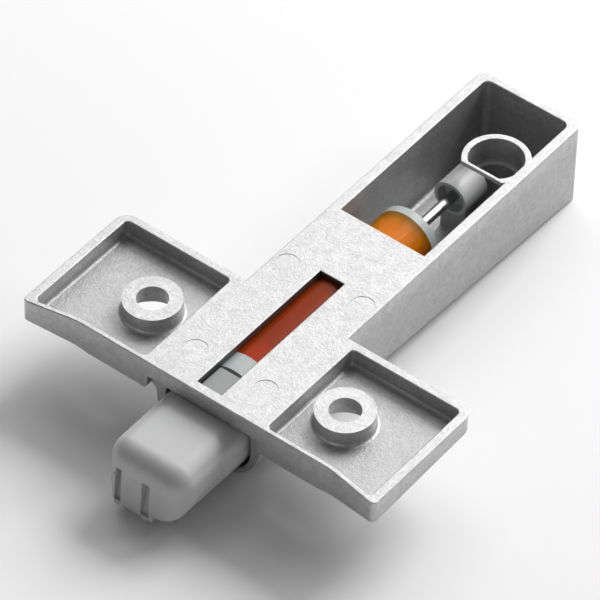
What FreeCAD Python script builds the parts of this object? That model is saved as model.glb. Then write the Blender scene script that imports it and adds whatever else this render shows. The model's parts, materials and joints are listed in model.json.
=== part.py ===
import FreeCAD, Part
import math
import os

# Soft close damper on a cross-shaped die-cast adapter, in millimetres.
# Origin: midway between the two screw holes, on the plane that is screwed to the cabinet.
# +X runs along the wings, +Y along the bar to the rear, +Z out of the open mounting side.
# The nose points to -Y and is pushed in along +Y.

# Driving dimensions: fixing
hole_spacing = 32.0
screw_hole_d = 4.4
screw_head_d = 8.2
screw_land = 2.0
boss_d = 8.2
boss_drop = 0.15

# Driving dimensions: wings
tip_x = 29.1
wing_front_y = -9.6
wing_rear_y = 10.4
wing_thick = 4.9
flare_x = 21.0
flare_reach = 1.5
flare_bend_r = 12.0
tip_thick_front = 3.45
tip_thick_rear = 2.7
tip_bevel_x = 19.0
tip_front_r = 0.7
tip_rear_r = 2.2
rim_tip = 1.4
rim_rear = 1.3
rim_front = 0.75
pocket_depth = 2.65
pocket_inner_x = 10.1
pocket_corner_r = 0.7
pocket_foot_r = 0.5
wing_root_r = 1.2
relief_half = 9.1
relief_top = 2.6
relief_corner_r = 0.8

# Driving dimensions: bar and rear box
bar_front_y = -8.3
bar_rear_y = 62.3
bar_half = 8.5
bar_depth = 13.6
keel_front_r = 7.4
keel_middle_y = 20.0
keel_middle_r = 3.85
keel_rear_r = 0.6
bar_rear_r = 1.5
box_half = 6.95
box_front_y = 28.75
box_rear_wall = 1.15
box_floor = 1.5
box_corner_r = 1.0
box_foot_r = 0.8
edge_r = 0.2

# Driving dimensions: window over the tube and ejector marks
window_half = 1.95
window_front_y = -8.05
window_rear_y = 17.85
mark_d = 3.4
mark_depth = 0.06
mark_front_x = 5.8
mark_front_y = -3.7
mark_rear_x = 6.25
mark_rear_y = 16.25

# Driving dimensions: collar of the rear box
collar_x = 3.35
collar_y = 49.6
collar_r = 4.8
collar_wall = 0.95
collar_rim_r = 0.12
collar_step = 4.3
collar_ledge = 0.6
collar_flat = 3.4
collar_web = 0.55
collar_web_height = 0.6

# Driving dimensions: damper cartridge
axis_z = -5.45
stroke = 7.0
tube_r = 4.65
tube_wall = 0.7
tube_front_y = 0.13
tube_rear_y = 33.95
cap_thick = 1.35
plug_thick = 3.15
rod_r = 0.75
run_gap = 0.1
piston_gap = 0.05

# Driving dimensions: nose
nose_front_y = -21.9
nose_half = 6.6
nose_half_front = 6.4
nose_top_z = -2.8
nose_bottom_z = -12.35
nose_round = 3.0
nose_keel_round = 1.6
nose_top_r = 2.8
nose_keel_r = 4.9
nose_gap = 0.5
nose_clear = 0.15
nose_side_clear = 0.5
nose_slot_depth = 1.3
nose_slot_low_depth = 0.4
nose_slot_top_z = -6.2
nose_slot_left_x = -3.7
nose_slot_left_width = 1.0
nose_slot_right_x = 0.8
nose_slot_right_width = 1.35
nose_lean = 0.55
nose_pad_x = -4.6
nose_pad_z = -12.2
nose_pad_length = 2.4
nose_pad_r = 1.2
nose_foot_height = 0.8
nose_foot_drop = 0.45
guide_rib_half = 1.75
guide_rib_top_z = -0.95
guide_rib_gap = 0.1

# Driving dimensions: rod end fitting
fitting_r = 2.65
fitting_front_y = 44.05
fitting_length = 4.8
fitting_mouth_r = 2.15
fitting_mouth_depth = 1.6
rod_grip = 2.4
saddle_half = 2.0
saddle_setback = 0.8
saddle_drop = 1.6
seat_gap = 0.02

# Driving dimensions: inside the cartridge
spigot_r = 2.1
spigot_length = 8.5
plug_insert = 3.2
ring_section_r = 0.5
cap_insert = 1.6
guide_r = 2.0
guide_length = 2.4
seal_length = 1.5
support_length = 0.6
foam_length = 5.0
baffle_length = 1.0
baffle_port_count = 6
baffle_port_r = 0.4
baffle_port_ring_r = 2.4
clip_length = 0.4
clip_r = 1.6
rod_groove_r = 0.54
rod_front_stub = 0.8
piston_length = 3.0
piston_port_count = 4
piston_port_r = 0.35
piston_port_ring_r = 2.1
disc_length = 0.35
disc_rim = 1.0
piston_end_gap = 0.3
seat_length = 1.0
wire_r = 0.25
coil_r = 2.7
active_turns = 14
closed_pitch = 0.56

X_AXIS = FreeCAD.Vector(1, 0, 0)
Y_AXIS = FreeCAD.Vector(0, 1, 0)
Z_AXIS = FreeCAD.Vector(0, 0, 1)

# How far a cut runs past what it cuts, and how far one reaches that clears everything
MARGIN = 1.0
REACH = 200.0

# How near a point lies to a plane to count as on it
TOUCH = 0.01


def vec(x, y, z):
    return FreeCAD.Vector(x, y, z)


# A closed wire of straight runs with rounded corners, through (point, radius) pairs.
def rounded_wire(corners):
    count = len(corners)
    starts = []
    ends = []
    mids = []
    for index in range(count):
        point, radius = corners[index]
        before = (corners[index - 1][0] - point).normalize()
        after = (corners[(index + 1) % count][0] - point).normalize()
        half_angle = before.getAngle(after) / 2
        if radius == 0:
            starts.append(point)
            ends.append(point)
            mids.append(None)
            continue
        inward = (before + after).normalize()
        run_in = radius / math.tan(half_angle)
        starts.append(point + before * run_in)
        ends.append(point + after * run_in)
        mids.append(point + inward * (radius / math.sin(half_angle) - radius))
    edges = []
    for index in range(count):
        if mids[index] is not None:
            edges.append(Part.Arc(starts[index], mids[index], ends[index]).toShape())
        following = (index + 1) % count
        edges.append(Part.LineSegment(ends[index], starts[following]).toShape())
    return Part.Wire(edges)


def prism(corners, direction):
    return Part.Face(rounded_wire(corners)).extrude(direction)


def box(x0, x1, y0, y1, z0, z1):
    return Part.makeBox(x1 - x0, y1 - y0, z1 - z0, vec(x0, y0, z0))


# A cylinder along the bar, on the cartridge's axis.
def rod_y(radius, y0, y1, x=0.0, z=axis_z):
    return Part.makeCylinder(radius, y1 - y0, vec(x, y0, z), Y_AXIS)


def tube_y(outer, inner, y0, y1):
    return rod_y(outer, y0, y1).cut(rod_y(inner, y0 - MARGIN, y1 + MARGIN))


def ring_y(middle_r, section_r, y):
    return Part.makeTorus(middle_r, section_r, vec(0, y, axis_z), Y_AXIS)


def post_z(radius, x, y, z0, z1):
    return Part.makeCylinder(radius, z1 - z0, vec(x, y, z0), Z_AXIS)


def mirrored(shape):
    return shape.mirror(vec(0, 0, 0), X_AXIS)


# Edges whose ends and middle all satisfy a test on the point.
def edges_where(shape, test):
    found = []
    for edge in shape.Edges:
        middle = edge.valueAt((edge.FirstParameter + edge.LastParameter) / 2)
        points = [vertex.Point for vertex in edge.Vertexes] + [middle]
        if all(test(point) for point in points):
            found.append(edge)
    return found


# Places worked out from the driving dimensions
hole_x = hole_spacing / 2
screw_hole_r = screw_hole_d / 2
screw_head_r = screw_head_d / 2
boss_r = boss_d / 2
bar_bottom_z = -bar_depth
box_rear_y = bar_rear_y - box_rear_wall
box_floor_z = bar_bottom_z + box_floor
bore_r = tube_r + run_gap
tube_inner_r = tube_r - tube_wall
plug_front_y = tube_front_y - plug_thick
cap_rear_y = tube_rear_y + cap_thick
nose_rear_y = plug_front_y - nose_gap
chamber_rear_y = nose_rear_y + stroke + nose_clear
fitting_rear_y = fitting_front_y + fitting_length
rod_rear_y = fitting_front_y + fitting_mouth_depth + rod_grip
collar_flat_y = collar_y - collar_flat


# The two wings as one slab, with flared front corners and thinner tips.
def wing_slab():
    flare_y = wing_front_y - flare_reach
    outline = [
        (vec(-flare_x, wing_front_y, -wing_thick), flare_bend_r),
        (vec(flare_x, wing_front_y, -wing_thick), flare_bend_r),
        (vec(tip_x, flare_y, -wing_thick), tip_front_r),
        (vec(tip_x, wing_rear_y, -wing_thick), tip_rear_r),
        (vec(-tip_x, wing_rear_y, -wing_thick), tip_rear_r),
        (vec(-tip_x, flare_y, -wing_thick), tip_front_r),
    ]
    slab = prism(outline, vec(0, 0, wing_thick))
    bevel = tip_bevel()
    return slab.cut(bevel).cut(mirrored(bevel))


# What is taken off the underside of one tip, thicker at the front than at the rear.
def tip_bevel():
    run = tip_x - tip_bevel_x
    front_y = wing_front_y - flare_reach
    fall = (tip_thick_front - tip_thick_rear) / (wing_rear_y - front_y)
    sections = []
    for y, thick in (
        (front_y - MARGIN, tip_thick_front + fall * MARGIN),
        (wing_rear_y + MARGIN, tip_thick_rear - fall * MARGIN),
    ):
        slope = (wing_thick - thick) / run
        corners = [
            vec(tip_bevel_x - MARGIN, y, -wing_thick - slope * MARGIN),
            vec(tip_x + MARGIN, y, -thick + slope * MARGIN),
            vec(tip_x + MARGIN, y, -wing_thick - MARGIN),
            vec(tip_bevel_x - MARGIN, y, -wing_thick - MARGIN),
        ]
        sections.append(Part.makePolygon(corners + corners[:1]))
    return Part.makeLoft(sections, True, True)


# The hollow of the right wing, with the screw boss left standing in it.
def wing_pocket():
    floor_z = -pocket_depth
    inner_tip = tip_x - rim_tip
    front_y = wing_front_y + rim_front
    rear_y = wing_rear_y - rim_rear
    flare_run = (inner_tip - flare_x) / (tip_x - flare_x)
    corner_y = front_y - flare_reach * flare_run
    outline = [
        (vec(pocket_inner_x, front_y, floor_z), pocket_corner_r),
        (vec(flare_x, front_y, floor_z), flare_bend_r),
        (vec(inner_tip, corner_y, floor_z), pocket_corner_r),
        (vec(inner_tip, rear_y, floor_z), pocket_corner_r),
        (vec(pocket_inner_x, rear_y, floor_z), pocket_corner_r),
    ]
    hollow = prism(outline, vec(0, 0, pocket_depth + MARGIN))
    hollow = hollow.cut(post_z(boss_r, hole_x, 0, floor_z - MARGIN, -boss_drop))
    foot = edges_where(hollow, lambda p: abs(p.z - floor_z) < TOUCH)
    return hollow.makeFillet(pocket_foot_r, foot)


# A countersunk screw hole, entered from the underside.
def screw_hole(x):
    cone_depth = screw_head_r - screw_hole_r
    cone_top = -screw_land
    cone_end = cone_top - cone_depth
    shank = post_z(screw_hole_r, x, 0, -wing_thick - MARGIN, MARGIN)
    cone = Part.makeCone(screw_head_r, screw_hole_r, cone_depth, vec(x, 0, cone_end), Z_AXIS)
    head = post_z(screw_head_r, x, 0, -wing_thick - MARGIN, cone_end)
    return shank.fuse(cone).fuse(head)


def bar_section(y, keel_r):
    return rounded_wire([
        (vec(-bar_half, y, 0), 0),
        (vec(bar_half, y, 0), 0),
        (vec(bar_half, y, bar_bottom_z), keel_r),
        (vec(-bar_half, y, bar_bottom_z), keel_r),
    ])


# The bar: a round-bottomed barrel in front that turns into a square box behind.
def bar_blank():
    sections = [
        bar_section(bar_front_y, keel_front_r),
        bar_section(keel_middle_y, keel_middle_r),
        bar_section(bar_rear_y, keel_rear_r),
    ]
    blank = Part.makeLoft(sections, True, True)
    below = bar_bottom_z - MARGIN
    plan = [
        (vec(-bar_half, bar_front_y - MARGIN, below), 0),
        (vec(bar_half, bar_front_y - MARGIN, below), 0),
        (vec(bar_half, bar_rear_y, below), bar_rear_r),
        (vec(-bar_half, bar_rear_y, below), bar_rear_r),
    ]
    return blank.common(prism(plan, vec(0, 0, bar_depth + 2 * MARGIN)))


# The hollow rounding where the underside of the right wing runs into the bar's flank.
def wing_root():
    inner_x = bar_half - wing_root_r / 2
    outer_x = bar_half + wing_root_r
    low_z = -wing_thick - wing_root_r
    web = box(inner_x, outer_x, bar_front_y, wing_rear_y, low_z, -wing_thick + wing_root_r / 2)
    return web.cut(rod_y(wing_root_r, bar_front_y - MARGIN, wing_rear_y + MARGIN, outer_x, low_z))


def rear_hollow():
    outline = [
        (vec(-box_half, box_front_y, box_floor_z), 0),
        (vec(box_half, box_front_y, box_floor_z), 0),
        (vec(box_half, box_rear_y, box_floor_z), box_corner_r),
        (vec(-box_half, box_rear_y, box_floor_z), box_corner_r),
    ]
    hollow = prism(outline, vec(0, 0, -box_floor_z + MARGIN))
    foot = edges_where(hollow, lambda p: abs(p.z - box_floor_z) < TOUCH and p.y > box_front_y)
    sides = [edge for edge in foot if edge.BoundBox.YLength > TOUCH or edge.BoundBox.YMin > box_front_y]
    return hollow.makeFillet(box_foot_r, sides)


# A U-shaped section of the nose or of its chamber, standing off over the top and all round.
def nose_section(y, half, top_clear=0.0, side_clear=0.0, lean=0.0):
    top_z = nose_top_z + top_clear
    bottom_z = nose_bottom_z - side_clear
    side = half + side_clear
    keel_r = nose_keel_r + side_clear
    return rounded_wire([
        (vec(-side, y, top_z), nose_top_r),
        (vec(side, y, top_z), nose_top_r),
        (vec(side, y - lean, bottom_z), keel_r),
        (vec(-side, y - lean, bottom_z), keel_r),
    ])


def nose_chamber():
    front_y = wing_front_y - MARGIN
    section = nose_section(front_y, nose_half, nose_clear, nose_side_clear)
    return Part.Face(section).extrude(vec(0, chamber_rear_y - front_y, 0))


# What lies in front of a plane across the bar.
def ahead_of(y):
    return box(-REACH, REACH, -REACH, y, -REACH, REACH)


# The round collar that stands in the rear box against its right wall, flat towards the front.
def collar():
    root_z = box_floor_z - box_floor / 2
    bore_r = collar_r - collar_wall
    flat_y = collar_flat_y + collar_web
    post = post_z(collar_r, collar_x, collar_y, root_z, 0).cut(ahead_of(collar_flat_y))
    wide = post_z(bore_r, collar_x, collar_y, -collar_step, MARGIN).cut(ahead_of(flat_y))
    narrow = post_z(bore_r - collar_ledge, collar_x, collar_y, box_floor_z, 0)
    narrow = narrow.cut(ahead_of(flat_y + collar_ledge))
    ring = post.cut(wide).cut(narrow)
    return ring.makeFillet(min(collar_rim_r, collar_wall / 3), edges_where(ring, lambda p: p.z > -TOUCH))


# The gap in the collar's front, under its bridge, that the rod end fitting lies in.
def fitting_window():
    side = fitting_r + seat_gap
    front_y = collar_flat_y - MARGIN
    seat = box(-side, side, front_y, fitting_rear_y, axis_z - side, -collar_web_height)
    open_y = collar_flat_y + collar_web + collar_ledge
    gap = box(-side, collar_x + collar_r, front_y, open_y, box_floor_z, -collar_web_height)
    return seat.fuse(gap)


# The rib on the box floor that the fitting rests on, clear of the space inside the collar.
def fitting_saddle():
    root_z = box_floor_z - box_floor / 2
    front_y = fitting_front_y + saddle_setback
    rib = box(-saddle_half, saddle_half, front_y, fitting_rear_y, root_z, axis_z - saddle_drop)
    rib = rib.cut(rod_y(fitting_r + seat_gap, front_y - MARGIN, fitting_rear_y + MARGIN))
    return rib.cut(post_z(collar_r - collar_wall, collar_x, collar_y, box_floor_z, 0))


def window():
    return box(-window_half, window_half, window_front_y, window_rear_y, -bore_r, MARGIN)


# Ejector marks: two beside each end of the window.
def ejector_marks():
    marks = []
    for x, y in ((mark_front_x, mark_front_y), (mark_rear_x, mark_rear_y)):
        for side in (-1, 1):
            marks.append(post_z(mark_d / 2, side * x, y, -mark_depth, MARGIN))
    return marks


# What is cleared away in front of the barrel, below the rim that bridges the two wings.
def front_relief():
    outer = relief_half + 2 * relief_corner_r
    section = rounded_wire([
        (vec(-relief_half, -REACH, -relief_top), 0),
        (vec(relief_half, -REACH, -relief_top), 0),
        (vec(relief_half, -REACH, -wing_thick), relief_corner_r),
        (vec(outer, -REACH, -wing_thick), 0),
        (vec(outer, -REACH, -REACH), 0),
        (vec(-outer, -REACH, -REACH), 0),
        (vec(-outer, -REACH, -wing_thick), 0),
        (vec(-relief_half, -REACH, -wing_thick), relief_corner_r),
    ])
    return Part.Face(section).extrude(vec(0, REACH + bar_front_y, 0))


# The rims that end in the mounting plane, softened as far as the thinnest rim allows.
def soften_rims(body):
    rims = edges_where(body, lambda p: abs(p.z) < TOUCH)
    return body.makeFillet(min(edge_r, rim_front / 3), rims)


def housing():
    root = wing_root()
    body = wing_slab().cut(front_relief()).fuse([bar_blank(), root, mirrored(root)]).removeSplitter()
    pocket = wing_pocket()
    body = body.cut(pocket).cut(mirrored(pocket))
    for x in (-hole_x, hole_x):
        body = body.cut(screw_hole(x))
    body = body.cut(rear_hollow()).cut(nose_chamber())
    body = body.cut(rod_y(bore_r, plug_front_y - MARGIN, box_front_y + MARGIN))
    body = soften_rims(body.cut(window()))
    body = body.fuse(collar().cut(fitting_window())).fuse(fitting_saddle())
    for mark in ejector_marks():
        body = body.cut(mark)
    return body.removeSplitter()


# The grey plastic nose: a block with a flat top, a round keel and a soft, leaning front.
def nose():
    rear = nose_section(nose_rear_y, nose_half)
    front = nose_section(nose_front_y, nose_half_front, lean=nose_lean)
    block = Part.makeLoft([rear, front], True, True)
    rim = edges_where(block, lambda p: p.y < nose_front_y + TOUCH)
    block = block.makeFillet(nose_keel_round, rim).common(nose_brow())
    block = block.fuse(nose_pad()).fuse(guide_rib())
    for x, width in (
        (nose_slot_left_x, nose_slot_left_width),
        (nose_slot_right_x, nose_slot_right_width),
    ):
        block = block.cut(nose_slot(x, width)).fuse(nose_foot(x, width))
    return block.cut(rod_y(spigot_r + seat_gap, spigot_front_y, plug_front_y)).removeSplitter()


# The envelope that gives the nose its large radius over the top and down both front corners.
def nose_brow():
    depth = nose_top_z - nose_bottom_z
    below = nose_bottom_z - depth
    front_low_y = nose_front_y - 2 * nose_lean
    sections = []
    for half, top_y, low_y in (
        (nose_half, nose_rear_y + MARGIN, nose_rear_y + MARGIN),
        (nose_half_front, nose_front_y, front_low_y),
    ):
        sections.append(Part.makePolygon([
            vec(-half, top_y, nose_top_z),
            vec(half, top_y, nose_top_z),
            vec(half, low_y, below),
            vec(-half, low_y, below),
            vec(-half, top_y, nose_top_z),
        ]))
    block = Part.makeLoft(sections, True, True)
    soft = []
    for edge in block.Edges:
        bounds = edge.BoundBox
        on_front = bounds.YMax < nose_front_y + TOUCH
        on_top = bounds.ZMin > nose_top_z - TOUCH
        at_rear = bounds.YMin > nose_rear_y
        at_foot = bounds.ZMax < below + TOUCH
        if (on_front or on_top) and not at_rear and not at_foot:
            soft.append(edge)
    return block.makeFillet(nose_round, soft)


# How far forward the leaning front face lies at a height.
def front_face_y(z):
    return nose_front_y - nose_lean * (nose_top_z - z) / (nose_top_z - nose_bottom_z)


# What lies in front of a sloping plane that crosses two heights at two places along the bar.
def ahead_of_slope(x0, x1, high_y, high_z, low_y, low_z):
    side = Part.makePolygon([
        vec(x0, high_y, high_z),
        vec(x0, low_y, low_z),
        vec(x0, -REACH, low_z),
        vec(x0, -REACH, high_z),
        vec(x0, high_y, high_z),
    ])
    return Part.Face(side).extrude(vec(x1 - x0, 0, 0))


# A slot in the front face, deep at the top and running out towards its foot.
def nose_slot(x, width):
    foot_z = nose_pad_z - nose_foot_drop
    high_y = front_face_y(nose_slot_top_z) + nose_slot_depth
    low_y = front_face_y(foot_z) + nose_slot_low_depth
    return ahead_of_slope(x - width / 2, x + width / 2, high_y, nose_slot_top_z, low_y, foot_z)


# What lies in front of the leaning front face.
def ahead_of_front():
    low_z = 2 * nose_bottom_z
    return ahead_of_slope(-REACH, REACH, nose_front_y, nose_top_z, front_face_y(low_z), low_z)


# The square pad at the foot of the front face, to the left and round the slots.
def nose_pad():
    front_y = nose_front_y - 2 * nose_lean
    shoulder_z = nose_bottom_z + nose_keel_r
    right_x = nose_slot_right_x + nose_slot_right_width
    outline = [
        (vec(nose_pad_x, front_y, nose_pad_z), nose_pad_r),
        (vec(right_x, front_y, nose_pad_z), 0),
        (vec(right_x, front_y, shoulder_z), 0),
        (vec(nose_pad_x, front_y, shoulder_z), 0),
    ]
    return prism(outline, vec(0, nose_pad_length, 0)).cut(ahead_of_front())


# The foot that closes the lower end of a slot and stands a little below the pad.
def nose_foot(x, width):
    front_y = nose_front_y - 2 * nose_lean
    half = width / 2
    foot_z = nose_pad_z - nose_foot_drop
    top_z = foot_z + nose_foot_height
    outline = [
        (vec(x - half, front_y, foot_z), half - TOUCH),
        (vec(x + half, front_y, foot_z), half - TOUCH),
        (vec(x + half, front_y, top_z), 0),
        (vec(x - half, front_y, top_z), 0),
    ]
    return prism(outline, vec(0, nose_pad_length, 0)).cut(ahead_of_front())


# The rib on top of the nose that runs in the window and stops at its front end.
def guide_rib():
    front_y = window_front_y + guide_rib_gap
    root_z = nose_top_z - MARGIN
    return box(-guide_rib_half, guide_rib_half, front_y, nose_rear_y, root_z, guide_rib_top_z)


# Places inside the cartridge, counted from its two ends
spigot_front_y = nose_rear_y - spigot_length
plug_inner_y = tube_front_y + plug_insert
plug_ring_y = tube_front_y + plug_insert / 2
cap_inner_y = tube_rear_y - cap_insert
seal_front_y = cap_inner_y - seal_length
support_front_y = seal_front_y - support_length
foam_front_y = support_front_y - foam_length
baffle_front_y = foam_front_y - baffle_length
rear_clip_y = baffle_front_y - piston_end_gap - clip_length
disc_y = rear_clip_y - disc_length - run_gap
piston_front_y = disc_y - piston_length
front_clip_y = piston_front_y - clip_length
rod_front_y = front_clip_y - rod_front_stub
spring_front_y = plug_inner_y + seat_length
spring_rear_y = piston_front_y - piston_gap


def damper_tube():
    return tube_y(tube_r, tube_inner_r, tube_front_y, tube_rear_y)


# The pale front plug: a collar as wide as the tube, with a stem into the nose.
def front_plug():
    body = rod_y(tube_r, plug_front_y, tube_front_y)
    body = body.fuse(rod_y(tube_inner_r - seat_gap, tube_front_y, plug_inner_y))
    body = body.fuse(rod_y(spigot_r, spigot_front_y, plug_front_y))
    groove_r = tube_inner_r - 2 * ring_section_r
    groove = tube_y(tube_r, groove_r, plug_ring_y - ring_section_r, plug_ring_y + ring_section_r)
    return body.cut(groove).removeSplitter()


def front_plug_seal():
    return ring_y(tube_inner_r - ring_section_r, ring_section_r, plug_ring_y)


# The pale rear cap, turned down to close the tube round the rod guide.
def rear_cap():
    body = rod_y(tube_r, tube_rear_y, cap_rear_y)
    rim = edges_where(body, lambda p: p.y > cap_rear_y - TOUCH)
    body = body.makeFillet(edge_r, [edge for edge in rim if len(edge.Vertexes) == 1])
    body = body.fuse(rod_y(tube_inner_r - seat_gap, cap_inner_y, tube_rear_y))
    guide_rear_y = cap_inner_y + guide_length
    body = body.cut(rod_y(guide_r + seat_gap, cap_inner_y - MARGIN, guide_rear_y))
    rod_way = rod_y(rod_r + 2 * run_gap, guide_rear_y - MARGIN, cap_rear_y + MARGIN)
    return body.cut(rod_way).removeSplitter()


def rod_guide():
    return tube_y(guide_r, rod_r + piston_gap, cap_inner_y, cap_inner_y + guide_length)


def rod_seal():
    return tube_y(tube_inner_r - seat_gap, rod_r + piston_gap, seal_front_y, cap_inner_y)


def seal_support():
    return tube_y(tube_inner_r - seat_gap, rod_r + run_gap, support_front_y, seal_front_y)


def foam_sleeve():
    return tube_y(tube_inner_r - seat_gap, rod_r + 4 * run_gap, foam_front_y, support_front_y)


# Holes along the bar, evenly spaced on a ring round the rod.
def ports(count, port_r, ring_r, y0, y1, first_angle=0.0):
    holes = []
    for index in range(count):
        angle = first_angle + index * 2 * math.pi / count
        x = ring_r * math.cos(angle)
        z = axis_z + ring_r * math.sin(angle)
        holes.append(rod_y(port_r, y0 - MARGIN, y1 + MARGIN, x, z))
    return holes


# The baffle plate keeps the foam apart from the oil, which passes through its holes.
def baffle_plate():
    plate = tube_y(tube_inner_r - seat_gap, rod_r + run_gap, baffle_front_y, foam_front_y)
    holes = ports(baffle_port_count, baffle_port_r, baffle_port_ring_r, baffle_front_y, foam_front_y)
    return plate.cut(holes)


# The rod: plain steel, with grooves for the clips that hold the piston.
def piston_rod():
    rod = rod_y(rod_r, rod_front_y, rod_rear_y)
    for y in (front_clip_y, rear_clip_y):
        rod = rod.cut(tube_y(rod_r + MARGIN, rod_groove_r, y, y + clip_length))
    return rod


# A slotted clip that is pushed onto the rod from above.
def rod_clip(y):
    clip = tube_y(clip_r, rod_groove_r, y, y + clip_length)
    mouth = rod_groove_r - seat_gap
    slot = box(-mouth, mouth, y - MARGIN, y + clip_length + MARGIN, axis_z - REACH, axis_z)
    return clip.cut(slot)


# The piston: a grooved disc with oil ports that the valve disc covers on the way in.
def piston():
    body = tube_y(tube_inner_r - piston_gap, rod_r + seat_gap, piston_front_y, disc_y)
    middle_y = (piston_front_y + disc_y) / 2
    groove_r = tube_inner_r - 2 * ring_section_r
    body = body.cut(tube_y(tube_r, groove_r, middle_y - ring_section_r, middle_y + ring_section_r))
    turned = math.pi / piston_port_count
    holes = ports(piston_port_count, piston_port_r, piston_port_ring_r, piston_front_y, disc_y, turned)
    return body.cut(holes)


def piston_ring():
    middle_y = (piston_front_y + disc_y) / 2
    outer = tube_inner_r - piston_gap
    inner = tube_inner_r - 2 * ring_section_r
    return tube_y(outer, inner, middle_y - ring_section_r, middle_y + ring_section_r)


def valve_disc():
    return tube_y(tube_inner_r - disc_rim, rod_r + seat_gap, disc_y, disc_y + disc_length)


def spring_seat():
    return tube_y(coil_r + 2 * wire_r, coil_r - 4 * wire_r, plug_inner_y, spring_front_y)


# The return spring, on the front side of the piston: half turns of wire whose ends meet
# straight across the bar, wound close for one turn at each end.
def return_spring():
    closed = [closed_pitch / 2] * 2
    free_length = spring_rear_y - spring_front_y - 2 * wire_r - 2 * closed_pitch
    active = [free_length / (2 * active_turns)] * (2 * active_turns)
    y = spring_front_y + wire_r
    side = 1
    half_turns = []
    for rise in closed + active + closed:
        circle = Part.makeCircle(wire_r, vec(side * coil_r, y, axis_z), Z_AXIS)
        section = Part.Face(Part.Wire(circle))
        middle = vec(0, y + rise / 2, axis_z)
        tilt = vec(-side * rise, -2 * coil_r, 0)
        half_turns.append(section.revolve(middle, tilt, 180))
        y += rise
        side = -side
    return half_turns[0].multiFuse(half_turns[1:])


# The rod end fitting: a grey plastic barrel pressed on the rod, with a deep mouth.
def rod_end_fitting():
    body = rod_y(fitting_r, fitting_front_y, fitting_rear_y)
    mouth_end_y = fitting_front_y + fitting_mouth_depth
    body = body.cut(rod_y(fitting_mouth_r, fitting_front_y - MARGIN, mouth_end_y))
    return body.cut(rod_y(rod_r, fitting_front_y - MARGIN, rod_rear_y))


NODES = {
    "housing": housing,
    "nose": nose,
    "damper_tube": damper_tube,
    "front_plug": front_plug,
    "front_plug_seal": front_plug_seal,
    "rear_cap": rear_cap,
    "rod_guide": rod_guide,
    "rod_seal": rod_seal,
    "seal_support": seal_support,
    "foam_sleeve": foam_sleeve,
    "baffle_plate": baffle_plate,
    "piston_rod": piston_rod,
    "piston_front_clip": lambda: rod_clip(front_clip_y),
    "piston_rear_clip": lambda: rod_clip(rear_clip_y),
    "piston": piston,
    "piston_ring": piston_ring,
    "valve_disc": valve_disc,
    "spring_seat": spring_seat,
    "return_spring": return_spring,
    "rod_end_fitting": rod_end_fitting,
}

os.makedirs("parts", exist_ok=True)
for name, make in NODES.items():
    solid = make()
    solid.exportStep("parts/" + name + ".step")
    print(name, "valid", solid.isValid(), "solids", len(solid.Solids), "volume", round(solid.Volume, 1))
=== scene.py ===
import json
import math

import bpy
from mathutils import Matrix, Vector


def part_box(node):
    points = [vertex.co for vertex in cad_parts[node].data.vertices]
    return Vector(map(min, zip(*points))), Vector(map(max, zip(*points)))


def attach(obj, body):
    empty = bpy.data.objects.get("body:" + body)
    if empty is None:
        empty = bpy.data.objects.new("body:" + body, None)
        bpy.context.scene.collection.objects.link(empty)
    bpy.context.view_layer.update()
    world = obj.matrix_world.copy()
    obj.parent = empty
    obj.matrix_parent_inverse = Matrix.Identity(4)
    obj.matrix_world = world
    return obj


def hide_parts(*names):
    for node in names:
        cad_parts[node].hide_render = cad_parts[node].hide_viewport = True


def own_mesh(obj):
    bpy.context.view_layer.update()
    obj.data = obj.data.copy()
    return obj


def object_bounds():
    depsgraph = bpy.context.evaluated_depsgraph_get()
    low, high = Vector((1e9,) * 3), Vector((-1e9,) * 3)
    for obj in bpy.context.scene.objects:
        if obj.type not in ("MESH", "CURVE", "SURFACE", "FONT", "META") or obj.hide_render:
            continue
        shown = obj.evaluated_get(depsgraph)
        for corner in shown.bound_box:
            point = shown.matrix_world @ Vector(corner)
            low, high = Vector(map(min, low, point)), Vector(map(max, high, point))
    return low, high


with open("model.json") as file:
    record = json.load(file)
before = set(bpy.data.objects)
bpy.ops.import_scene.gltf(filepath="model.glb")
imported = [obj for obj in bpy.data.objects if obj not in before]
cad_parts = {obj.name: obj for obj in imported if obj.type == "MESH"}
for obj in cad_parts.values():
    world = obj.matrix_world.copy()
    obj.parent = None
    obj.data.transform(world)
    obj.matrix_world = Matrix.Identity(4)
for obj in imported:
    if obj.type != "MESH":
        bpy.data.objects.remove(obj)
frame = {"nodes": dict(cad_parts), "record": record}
cad_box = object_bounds()

MM = 0.001

# Where the photograph was taken from and where it looks, in millimetres of the part's own frame
CAMERA_PLACE = (331.2, -432.9, 564.5)
CAMERA_AIM = (-3.65, 15.81, -5.0)

# The camera's roll in degrees, and its lens and sensor in millimetres
CAMERA_ROLL = 1.755
CAMERA_LENS = 361.97
SENSOR = 36.0

# How near and how far the camera sees, in metres
CLIP_START = 0.01
CLIP_END = 20.0


def set_camera():
    data = bpy.data.cameras.new("camera")
    data.lens = CAMERA_LENS
    data.sensor_width = SENSOR
    data.clip_start = CLIP_START
    data.clip_end = CLIP_END
    camera = bpy.data.objects.new("camera", data)
    bpy.context.scene.collection.objects.link(camera)
    place = Vector(CAMERA_PLACE) * MM
    aim = Vector(CAMERA_AIM) * MM
    turn = (aim - place).to_track_quat("-Z", "Y").to_matrix().to_4x4()
    roll = Matrix.Rotation(math.radians(CAMERA_ROLL), 4, "Z")
    camera.matrix_world = Matrix.Translation(place) @ turn @ roll
    bpy.context.scene.camera = camera


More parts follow.
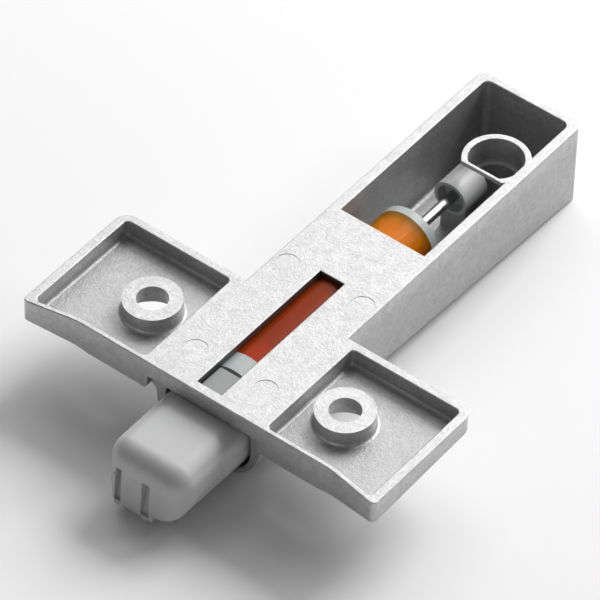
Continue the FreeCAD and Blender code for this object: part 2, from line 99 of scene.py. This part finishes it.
# Colours of the pieces, each as a dark and a light tone
ZINC = ((0.49, 0.49, 0.495), (0.65, 0.65, 0.645))
GREY = ((0.53, 0.535, 0.535), (0.59, 0.595, 0.59))
# The amber's dark tone stands partly for the oil inside and partly for painted shade
AMBER = ((0.86, 0.12, 0.008), (1.0, 0.43, 0.004))
PALE = ((0.40, 0.44, 0.435), (0.52, 0.56, 0.55))
WHITE = ((0.80, 0.80, 0.77), (0.88, 0.88, 0.85))
SEAL = ((0.80, 0.80, 0.77), (0.86, 0.86, 0.83))
FOAM = ((0.84, 0.84, 0.82), (0.93, 0.93, 0.91))

# Colours that are even: the bright rod and the spring's wire
BRIGHT_STEEL = (0.52, 0.52, 0.53)
SPRING_STEEL = (0.30, 0.29, 0.28)

# Where most of a noise's values lie
NOISE_RANGE = (0.3, 0.7)

# How far up a face's normal points on a wall and on a floor
WALL_NORMAL_Z = 0.5
FLOOR_NORMAL_Z = 0.95


# A material and its node tree. Widths, depths and places are given in millimetres.
class Recipe:
    def __init__(self, name):
        self.material = bpy.data.materials.new(name)
        self.material.use_nodes = True
        self.tree = self.material.node_tree
        self.tree.nodes.clear()
        self.output = self.tree.nodes.new("ShaderNodeOutputMaterial")
        self.place = self.tree.nodes.new("ShaderNodeTexCoord").outputs["Object"]

    def node(self, kind, **settings):
        made = self.tree.nodes.new(kind)
        for key, value in settings.items():
            setattr(made, key, value)
        return made

    # Gives a socket a colour, a number or what another node puts out.
    def feed(self, value, socket):
        if isinstance(value, tuple):
            socket.default_value = (*value, 1.0)
        elif isinstance(value, float):
            socket.default_value = value
        else:
            self.tree.links.new(value, socket)

    # The finished surface. Other sockets are named with _ for each space.
    def surface(self, colour, rough, normal=None, **sockets):
        made = self.node("ShaderNodeBsdfPrincipled")
        self.feed(colour, made.inputs["Base Color"])
        self.feed(rough, made.inputs["Roughness"])
        if normal is not None:
            self.feed(normal, made.inputs["Normal"])
        for key, value in sockets.items():
            self.feed(value, made.inputs[key.replace("_", " ")])
        self.feed(made.outputs["BSDF"], self.output.inputs["Surface"])
        return self.material

    # Coordinates stretched by a scale along each axis.
    def stretched(self, scale):
        made = self.node("ShaderNodeMapping")
        made.inputs["Scale"].default_value = scale
        self.feed(self.place, made.inputs["Vector"])
        return made.outputs["Vector"]

    # Noise whose grains are about so wide.
    def noise(self, width, detail=3.0, rough=0.55, distortion=0.0, place=None):
        made = self.node("ShaderNodeTexNoise")
        self.feed(1.0 / (width * MM), made.inputs["Scale"])
        self.feed(detail, made.inputs["Detail"])
        self.feed(rough, made.inputs["Roughness"])
        self.feed(distortion, made.inputs["Distortion"])
        self.feed(place or self.place, made.inputs["Vector"])
        return made.outputs["Fac"]

    # Round cells about so wide, as the distance from each one's middle.
    def cells(self, width):
        made = self.node("ShaderNodeTexVoronoi")
        self.feed(1.0 / (width * MM), made.inputs["Scale"])
        self.feed(self.place, made.inputs["Vector"])
        return made.outputs["Distance"]

    # Values in one range spread over another, and held at its ends.
    def spread(self, value, taken, given=(0.0, 1.0)):
        made = self.node("ShaderNodeMapRange")
        self.feed(taken[0], made.inputs["From Min"])
        self.feed(taken[1], made.inputs["From Max"])
        self.feed(given[0], made.inputs["To Min"])
        self.feed(given[1], made.inputs["To Max"])
        self.feed(value, made.inputs["Value"])
        return made.outputs["Result"]

    # One colour or mix turning into another as a value goes from 0 to 1.
    def mixed(self, value, first, second):
        made = self.node("ShaderNodeMix", data_type="RGBA")
        self.feed(first, made.inputs["A"])
        self.feed(second, made.inputs["B"])
        self.feed(value, made.inputs["Factor"])
        return made.outputs["Result"]

    def calculated(self, operation, first, second):
        made = self.node("ShaderNodeMath", operation=operation)
        self.feed(first, made.inputs[0])
        self.feed(second, made.inputs[1])
        return made.outputs["Value"]

    # All the values multiplied together.
    def product(self, first, *others):
        for other in others:
            first = self.calculated("MULTIPLY", first, other)
        return first

    # One coordinate in the part's frame, in metres.
    def along(self, axis):
        made = self.node("ShaderNodeSeparateXYZ")
        self.feed(self.place, made.inputs["Vector"])
        return made.outputs[axis]

    # A range spread along an axis from one place to another.
    def graded(self, axis, start, end, given=(0.0, 1.0)):
        return self.spread(self.along(axis), (start * MM, end * MM), given)

    # 1 between the two places of a span along an axis, and 0 outside.
    def between(self, axis, span):
        above = self.calculated("GREATER_THAN", self.along(axis), span[0] * MM)
        below = self.calculated("LESS_THAN", self.along(axis), span[1] * MM)
        return self.product(above, below)

    # From 0 on walls and undersides to 1 on faces that look up.
    def upward(self):
        made = self.node("ShaderNodeSeparateXYZ")
        self.feed(self.node("ShaderNodeNewGeometry").outputs["Normal"], made.inputs["Vector"])
        return self.spread(made.outputs["Z"], (WALL_NORMAL_Z, FLOOR_NORMAL_Z))

    # A bump so deep, laid over an earlier one.
    def bump(self, height, depth, under=None):
        made = self.node("ShaderNodeBump")
        self.feed(depth * MM, made.inputs["Distance"])
        self.feed(height, made.inputs["Height"])
        if under is not None:
            self.feed(under, made.inputs["Normal"])
        return made.outputs["Normal"]


# Heights in the casting, in millimetres: the rims, the pockets, the collar's step and the walls
RIM_Z = -0.25
POCKET_HIGH_Z = -0.6
POCKET_LOW_Z = -3.2
STEP_Z = -3.9
WALL_HIGH_Z = -0.8
WALL_LOW_Z = -3.5
LEDGE_BAND = (-4.5, -4.1)

# The window over the cylinder along each axis, a little larger than its opening, in millimetres
WINDOW = {"X": (-2.05, 2.05), "Y": (-8.15, 17.95), "Z": (-1.6, 0.1)}

# The greys that the casting turns into in these places, and how far it turns: painted shade on the
# pockets' floors, low on the walls and on the window's walls, painted light on the collar's ledge
POCKET_SHADE_GREY = (0.30, 0.30, 0.303)
POCKET_SHADE_SHARE = 0.5
WALL_SHADE_GREY = (0.16, 0.16, 0.16)
WALL_SHADE_SHARE = 0.25
LEDGE_LIGHT_GREY = (0.92, 0.92, 0.92)
WINDOW_SHADE_GREY = (0.07, 0.07, 0.07)
WINDOW_SHADE_SHARE = 0.85

# The sum of two noises where the casting is darkest and lightest
MOTTLE_RANGE = (0.75, 1.25)


# The casting's colour, with painted shade on the pockets' floors and low on its walls.
def with_painted_recess_shade(recipe, colour, upward, wall):
    # Painted shade on the pockets' floors
    below_rim = recipe.graded("Z", RIM_Z, POCKET_HIGH_Z, (0.0, POCKET_SHADE_SHARE))
    above_step = recipe.graded("Z", STEP_Z, POCKET_LOW_Z)
    colour = recipe.mixed(recipe.product(below_rim, above_step, upward), colour, POCKET_SHADE_GREY)
    # Painted shade low on the walls
    low = recipe.graded("Z", WALL_HIGH_Z, WALL_LOW_Z, (0.0, WALL_SHADE_SHARE))
    return recipe.mixed(recipe.product(wall, low), colour, WALL_SHADE_GREY)


# The casting's colour, with painted light on the ledge in the collar and painted shade on the
# window's walls.
def with_painted_ledge_light_and_window_shade(recipe, colour, upward, wall):
    # Painted light on the collar's ledge
    ledge_light = recipe.product(upward, recipe.between("Z", LEDGE_BAND))
    colour = recipe.mixed(ledge_light, colour, LEDGE_LIGHT_GREY)
    # Painted shade on the window's walls
    inside = [recipe.between(axis, span) for axis, span in WINDOW.items()]
    window_shade = recipe.product(*inside, wall, WINDOW_SHADE_SHARE)
    return recipe.mixed(window_shade, colour, WINDOW_SHADE_GREY)


# Die-cast zinc, tumbled matt, with a fine cloudy grain. Painted shade darkens its pockets' floors,
# the low parts of its walls and the window's walls, and painted light brightens the collar's ledge.
def zinc_casting():
    recipe = Recipe("zinc_casting")
    cloud = recipe.noise(width=1.6, detail=5.0, distortion=1.2)
    swirl = recipe.noise(width=0.9, detail=4.0, distortion=1.5)
    grain = recipe.noise(width=0.42, rough=0.7)
    fine = recipe.noise(width=0.16, detail=4.0, rough=0.7)
    mottle = recipe.spread(recipe.calculated("ADD", cloud, grain), MOTTLE_RANGE)
    upward = recipe.upward()
    wall = recipe.calculated("SUBTRACT", 1.0, upward)
    colour = with_painted_recess_shade(recipe, recipe.mixed(mottle, *ZINC), upward, wall)
    colour = with_painted_ledge_light_and_window_shade(recipe, colour, upward, wall)
    rough = recipe.spread(fine, NOISE_RANGE, given=(0.34, 0.52))
    normal = recipe.bump(swirl, depth=0.03)
    normal = recipe.bump(grain, depth=0.05, under=normal)
    normal = recipe.bump(fine, depth=0.035, under=normal)
    return recipe.surface(colour, rough, normal, Metallic=0.65)


# The nose's rib, painted darker with shade where it runs in the window: its heights, in millimetres
RIB_LOW_Z = -1.6
RIB_HIGH_Z = -1.0
RIB_SHADE_GREY = (0.33, 0.335, 0.335)


# Moulded grey plastic with a satin face and faint flow lines, and painted shade on the rib where it
# runs in the window.
def grey_plastic():
    recipe = Recipe("grey_plastic")
    flow = recipe.noise(width=4.0, distortion=0.8)
    rib_shade = recipe.graded("Z", RIB_LOW_Z, RIB_HIGH_Z)
    # Painted shade on the rib where it runs in the window
    colour = recipe.mixed(rib_shade, recipe.mixed(flow, *GREY), RIB_SHADE_GREY)
    fine = recipe.noise(width=0.12)
    rough = recipe.spread(fine, NOISE_RANGE, given=(0.26, 0.40))
    return recipe.surface(colour, rough, recipe.bump(fine, depth=0.006))


# Heights on the cylinder, in millimetres, where painted shade makes it redder and where it is
# brightest, and how bright it is at the lower one
AMBER_LOW_Z = -5.2
AMBER_HIGH_Z = -2.6
AMBER_SHADE_SHARE = 0.25

# How rough its surface is, and how much light it lets through and bends
AMBER_ROUGH = 0.28
AMBER_CLEAR = 0.78
AMBER_IOR = 1.2


# Clear amber plastic of the cylinder: the pieces inside show through it. It is coloured deep red
# over the oil, partly for the oil and partly as painted shade where light reaches it only through
# the window; painted shade also reddens it low on its sides; it is bright orange behind, where the
# foam is.
def orange_plastic():
    recipe = Recipe("orange_plastic")
    oil_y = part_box("baffle_plate")[0][1]
    foam_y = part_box("foam_sleeve")[0][1]
    # Deep red over the oil: partly the oil, partly painted shade where light comes in only through
    # the window
    foam = recipe.spread(recipe.along("Y"), (oil_y, foam_y))
    # Painted shade: the cylinder turns redder and darker lower on its sides
    painted_top_light = recipe.graded("Z", AMBER_LOW_Z, AMBER_HIGH_Z, (AMBER_SHADE_SHARE, 1.0))
    colour = recipe.mixed(recipe.product(foam, painted_top_light), *AMBER)
    normal = recipe.bump(recipe.noise(width=0.4, detail=2.0), depth=0.002)
    return recipe.surface(
        colour,
        AMBER_ROUGH,
        normal,
        Transmission_Weight=AMBER_CLEAR,
        IOR=AMBER_IOR,
    )


def plain_plastic(name, tones, rough):
    recipe = Recipe(name)
    colour = recipe.mixed(recipe.noise(width=2.5), *tones)
    return recipe.surface(colour, rough, recipe.bump(recipe.noise(width=0.15), depth=0.005))


def pale_plastic():
    return plain_plastic("pale_plastic", PALE, rough=0.28)


def white_plastic():
    return plain_plastic("white_plastic", WHITE, rough=0.4)


def seal_rubber():
    return plain_plastic("seal_rubber", SEAL, rough=0.4)


# From the middle of a pore to the edge between two of them, as a share of their width
PORE_RANGE = (0.0, 0.6)


# Closed foam with fine pores.
def closed_foam():
    recipe = Recipe("closed_foam")
    pores = recipe.cells(width=0.25)
    colour = recipe.mixed(recipe.spread(pores, PORE_RANGE), *FOAM)
    return recipe.surface(colour, rough=0.9, normal=recipe.bump(pores, depth=0.06))


# Noise coordinates that turn its grains into thin rings round the rod
RING_STRETCH = (0.1, 6.0, 0.1)


# Ground steel rod, with fine rings round it.
def bright_steel():
    recipe = Recipe("bright_steel")
    rings = recipe.noise(width=0.5, detail=2.0, place=recipe.stretched(RING_STRETCH))
    rough = recipe.spread(rings, NOISE_RANGE, given=(0.16, 0.26))
    return recipe.surface(BRIGHT_STEEL, rough, recipe.bump(rings, depth=0.002), Metallic=1.0)


def spring_steel():
    recipe = Recipe("spring_steel")
    fine = recipe.noise(width=0.15)
    rough = recipe.spread(fine, NOISE_RANGE, given=(0.28, 0.45))
    return recipe.surface(SPRING_STEEL, rough, recipe.bump(fine, depth=0.003), Metallic=1.0)


# Gives each node the material of its slot in the record.
def dress_nodes():
    makers = (
        zinc_casting,
        grey_plastic,
        orange_plastic,
        pale_plastic,
        white_plastic,
        seal_rubber,
        closed_foam,
        bright_steel,
        spring_steel,
    )
    materials = {make.__name__: make() for make in makers}
    slots = {row["node"]: row["material_slot"] for row in frame["record"]["subparts"]}
    for node, piece in frame["nodes"].items():
        piece.data.materials.clear()
        piece.data.materials.append(materials[slots[node]])
    return materials


# The return spring's wire and coil, in millimetres, its closed turns at each end and its open turns
WIRE_R = 0.25
COIL_R = 2.7
CLOSED_PITCH = 0.56
END_TURNS = 1
ACTIVE_TURNS = 14
TURN_STEPS = 24
WIRE_SIDES = 8


# How far along the bar the wire lies after so many turns, wound close at both ends.
def coil_y(turn, first_y, last_y):
    closed_pitch = CLOSED_PITCH * MM
    open_pitch = (last_y - first_y - 2 * END_TURNS * closed_pitch) / ACTIVE_TURNS
    open_turns = min(max(turn - END_TURNS, 0), ACTIVE_TURNS)
    return first_y + open_turns * open_pitch + (turn - open_turns) * closed_pitch


# Points round the wire where its centre has come to.
def wire_ring(centre, outward):
    ring = []
    for side in range(WIRE_SIDES):
        around = 2 * math.pi * side / WIRE_SIDES
        reach = (COIL_R + WIRE_R * math.cos(around)) * MM
        rise = Vector((0.0, WIRE_R * math.sin(around) * MM, 0.0))
        ring.append(centre + outward * reach + rise)
    return ring


# Faces from each ring of points to the next, and one face at each end of the wire.
def wire_faces(steps):
    faces = []
    for step in range(steps):
        near = step * WIRE_SIDES
        far = near + WIRE_SIDES
        for side in range(WIRE_SIDES):
            after = (side + 1) % WIRE_SIDES
            faces.append((near + side, near + after, far + after, far + side))
    faces.append(tuple(range(WIRE_SIDES)))
    faces.append(tuple(steps * WIRE_SIDES + side for side in reversed(range(WIRE_SIDES))))
    return faces


# The return spring as one smooth coil of wire, wound close at both ends, in place of the part's own
# spring.
def wind_spring(material):
    low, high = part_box("return_spring")
    first_y = low[1] + WIRE_R * MM
    last_y = high[1] - WIRE_R * MM
    axis_z = (low[2] + high[2]) / 2
    steps = (ACTIVE_TURNS + 2 * END_TURNS) * TURN_STEPS
    points = []
    for step in range(steps + 1):
        turn = step / TURN_STEPS
        angle = 2 * math.pi * turn
        centre = Vector((0.0, coil_y(turn, first_y, last_y), axis_z))
        outward = Vector((math.cos(angle), 0.0, math.sin(angle)))
        points.extend(wire_ring(centre, outward))
    mesh = bpy.data.meshes.new("coil_spring")
    mesh.from_pydata(points, [], wire_faces(steps))
    mesh.shade_smooth()
    mesh.materials.append(material)
    spring = bpy.data.objects.new("coil_spring", mesh)
    bpy.context.scene.collection.objects.link(spring)
    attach(spring, "adapter")
    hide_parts("return_spring")
    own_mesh(spring)


# The floor's half width, in metres, its colour and how matt it is
FLOOR_HALF = 4.0
FLOOR_WHITE = (0.98, 0.98, 0.98)
FLOOR_ROUGH = 0.9


# The pale matt floor that the part stands on.
def set_floor():
    mesh = bpy.data.meshes.new("floor")
    z = cad_box[0][2]
    corners = [(-1, -1), (1, -1), (1, 1), (-1, 1)]
    mesh.from_pydata([(x * FLOOR_HALF, y * FLOOR_HALF, z) for x, y in corners], [], [(0, 1, 2, 3)])
    floor = bpy.data.objects.new("floor", mesh)
    bpy.context.scene.collection.objects.link(floor)
    matt = Recipe("floor").surface(FLOOR_WHITE, FLOOR_ROUGH, Specular_IOR_Level=0.0)
    mesh.materials.append(matt)


# Lamps: name, direction seen from the part, distance, width and power, in metres and watts
LAMPS = (
    ("key", (-0.42, 0.56, 0.71), 1.1, 1.0, 5.0),
    ("back", (0.10, 0.80, 0.60), 1.1, 0.6, 11.0),
    ("back_right", (0.58, 0.56, 0.59), 1.1, 0.25, 1.0),
)
LAMP_AIM = (0.0, 0.02, 0.0)

# The even light from all round
WORLD_WHITE = (1.0, 1.0, 1.0, 1.0)
WORLD_STRENGTH = 0.14


def set_lights():
    aim = Vector(LAMP_AIM)
    for name, direction, distance, width, power in LAMPS:
        data = bpy.data.lights.new(name, "AREA")
        data.shape = "SQUARE"
        data.size = width
        data.energy = power
        lamp = bpy.data.objects.new(name, data)
        bpy.context.scene.collection.objects.link(lamp)
        lamp.location = Vector(direction) * distance
        lamp.rotation_euler = (aim - lamp.location).to_track_quat("-Z", "Y").to_euler()
    world = bpy.data.worlds.new("world")
    bpy.context.scene.world = world
    world.use_nodes = True
    background = world.node_tree.nodes["Background"]
    background.inputs["Color"].default_value = WORLD_WHITE
    background.inputs["Strength"].default_value = WORLD_STRENGTH


bpy.context.scene.view_settings.view_transform = "Standard"
materials = dress_nodes()
wind_spring(materials["spring_steel"])

set_floor()
set_lights()
set_camera()
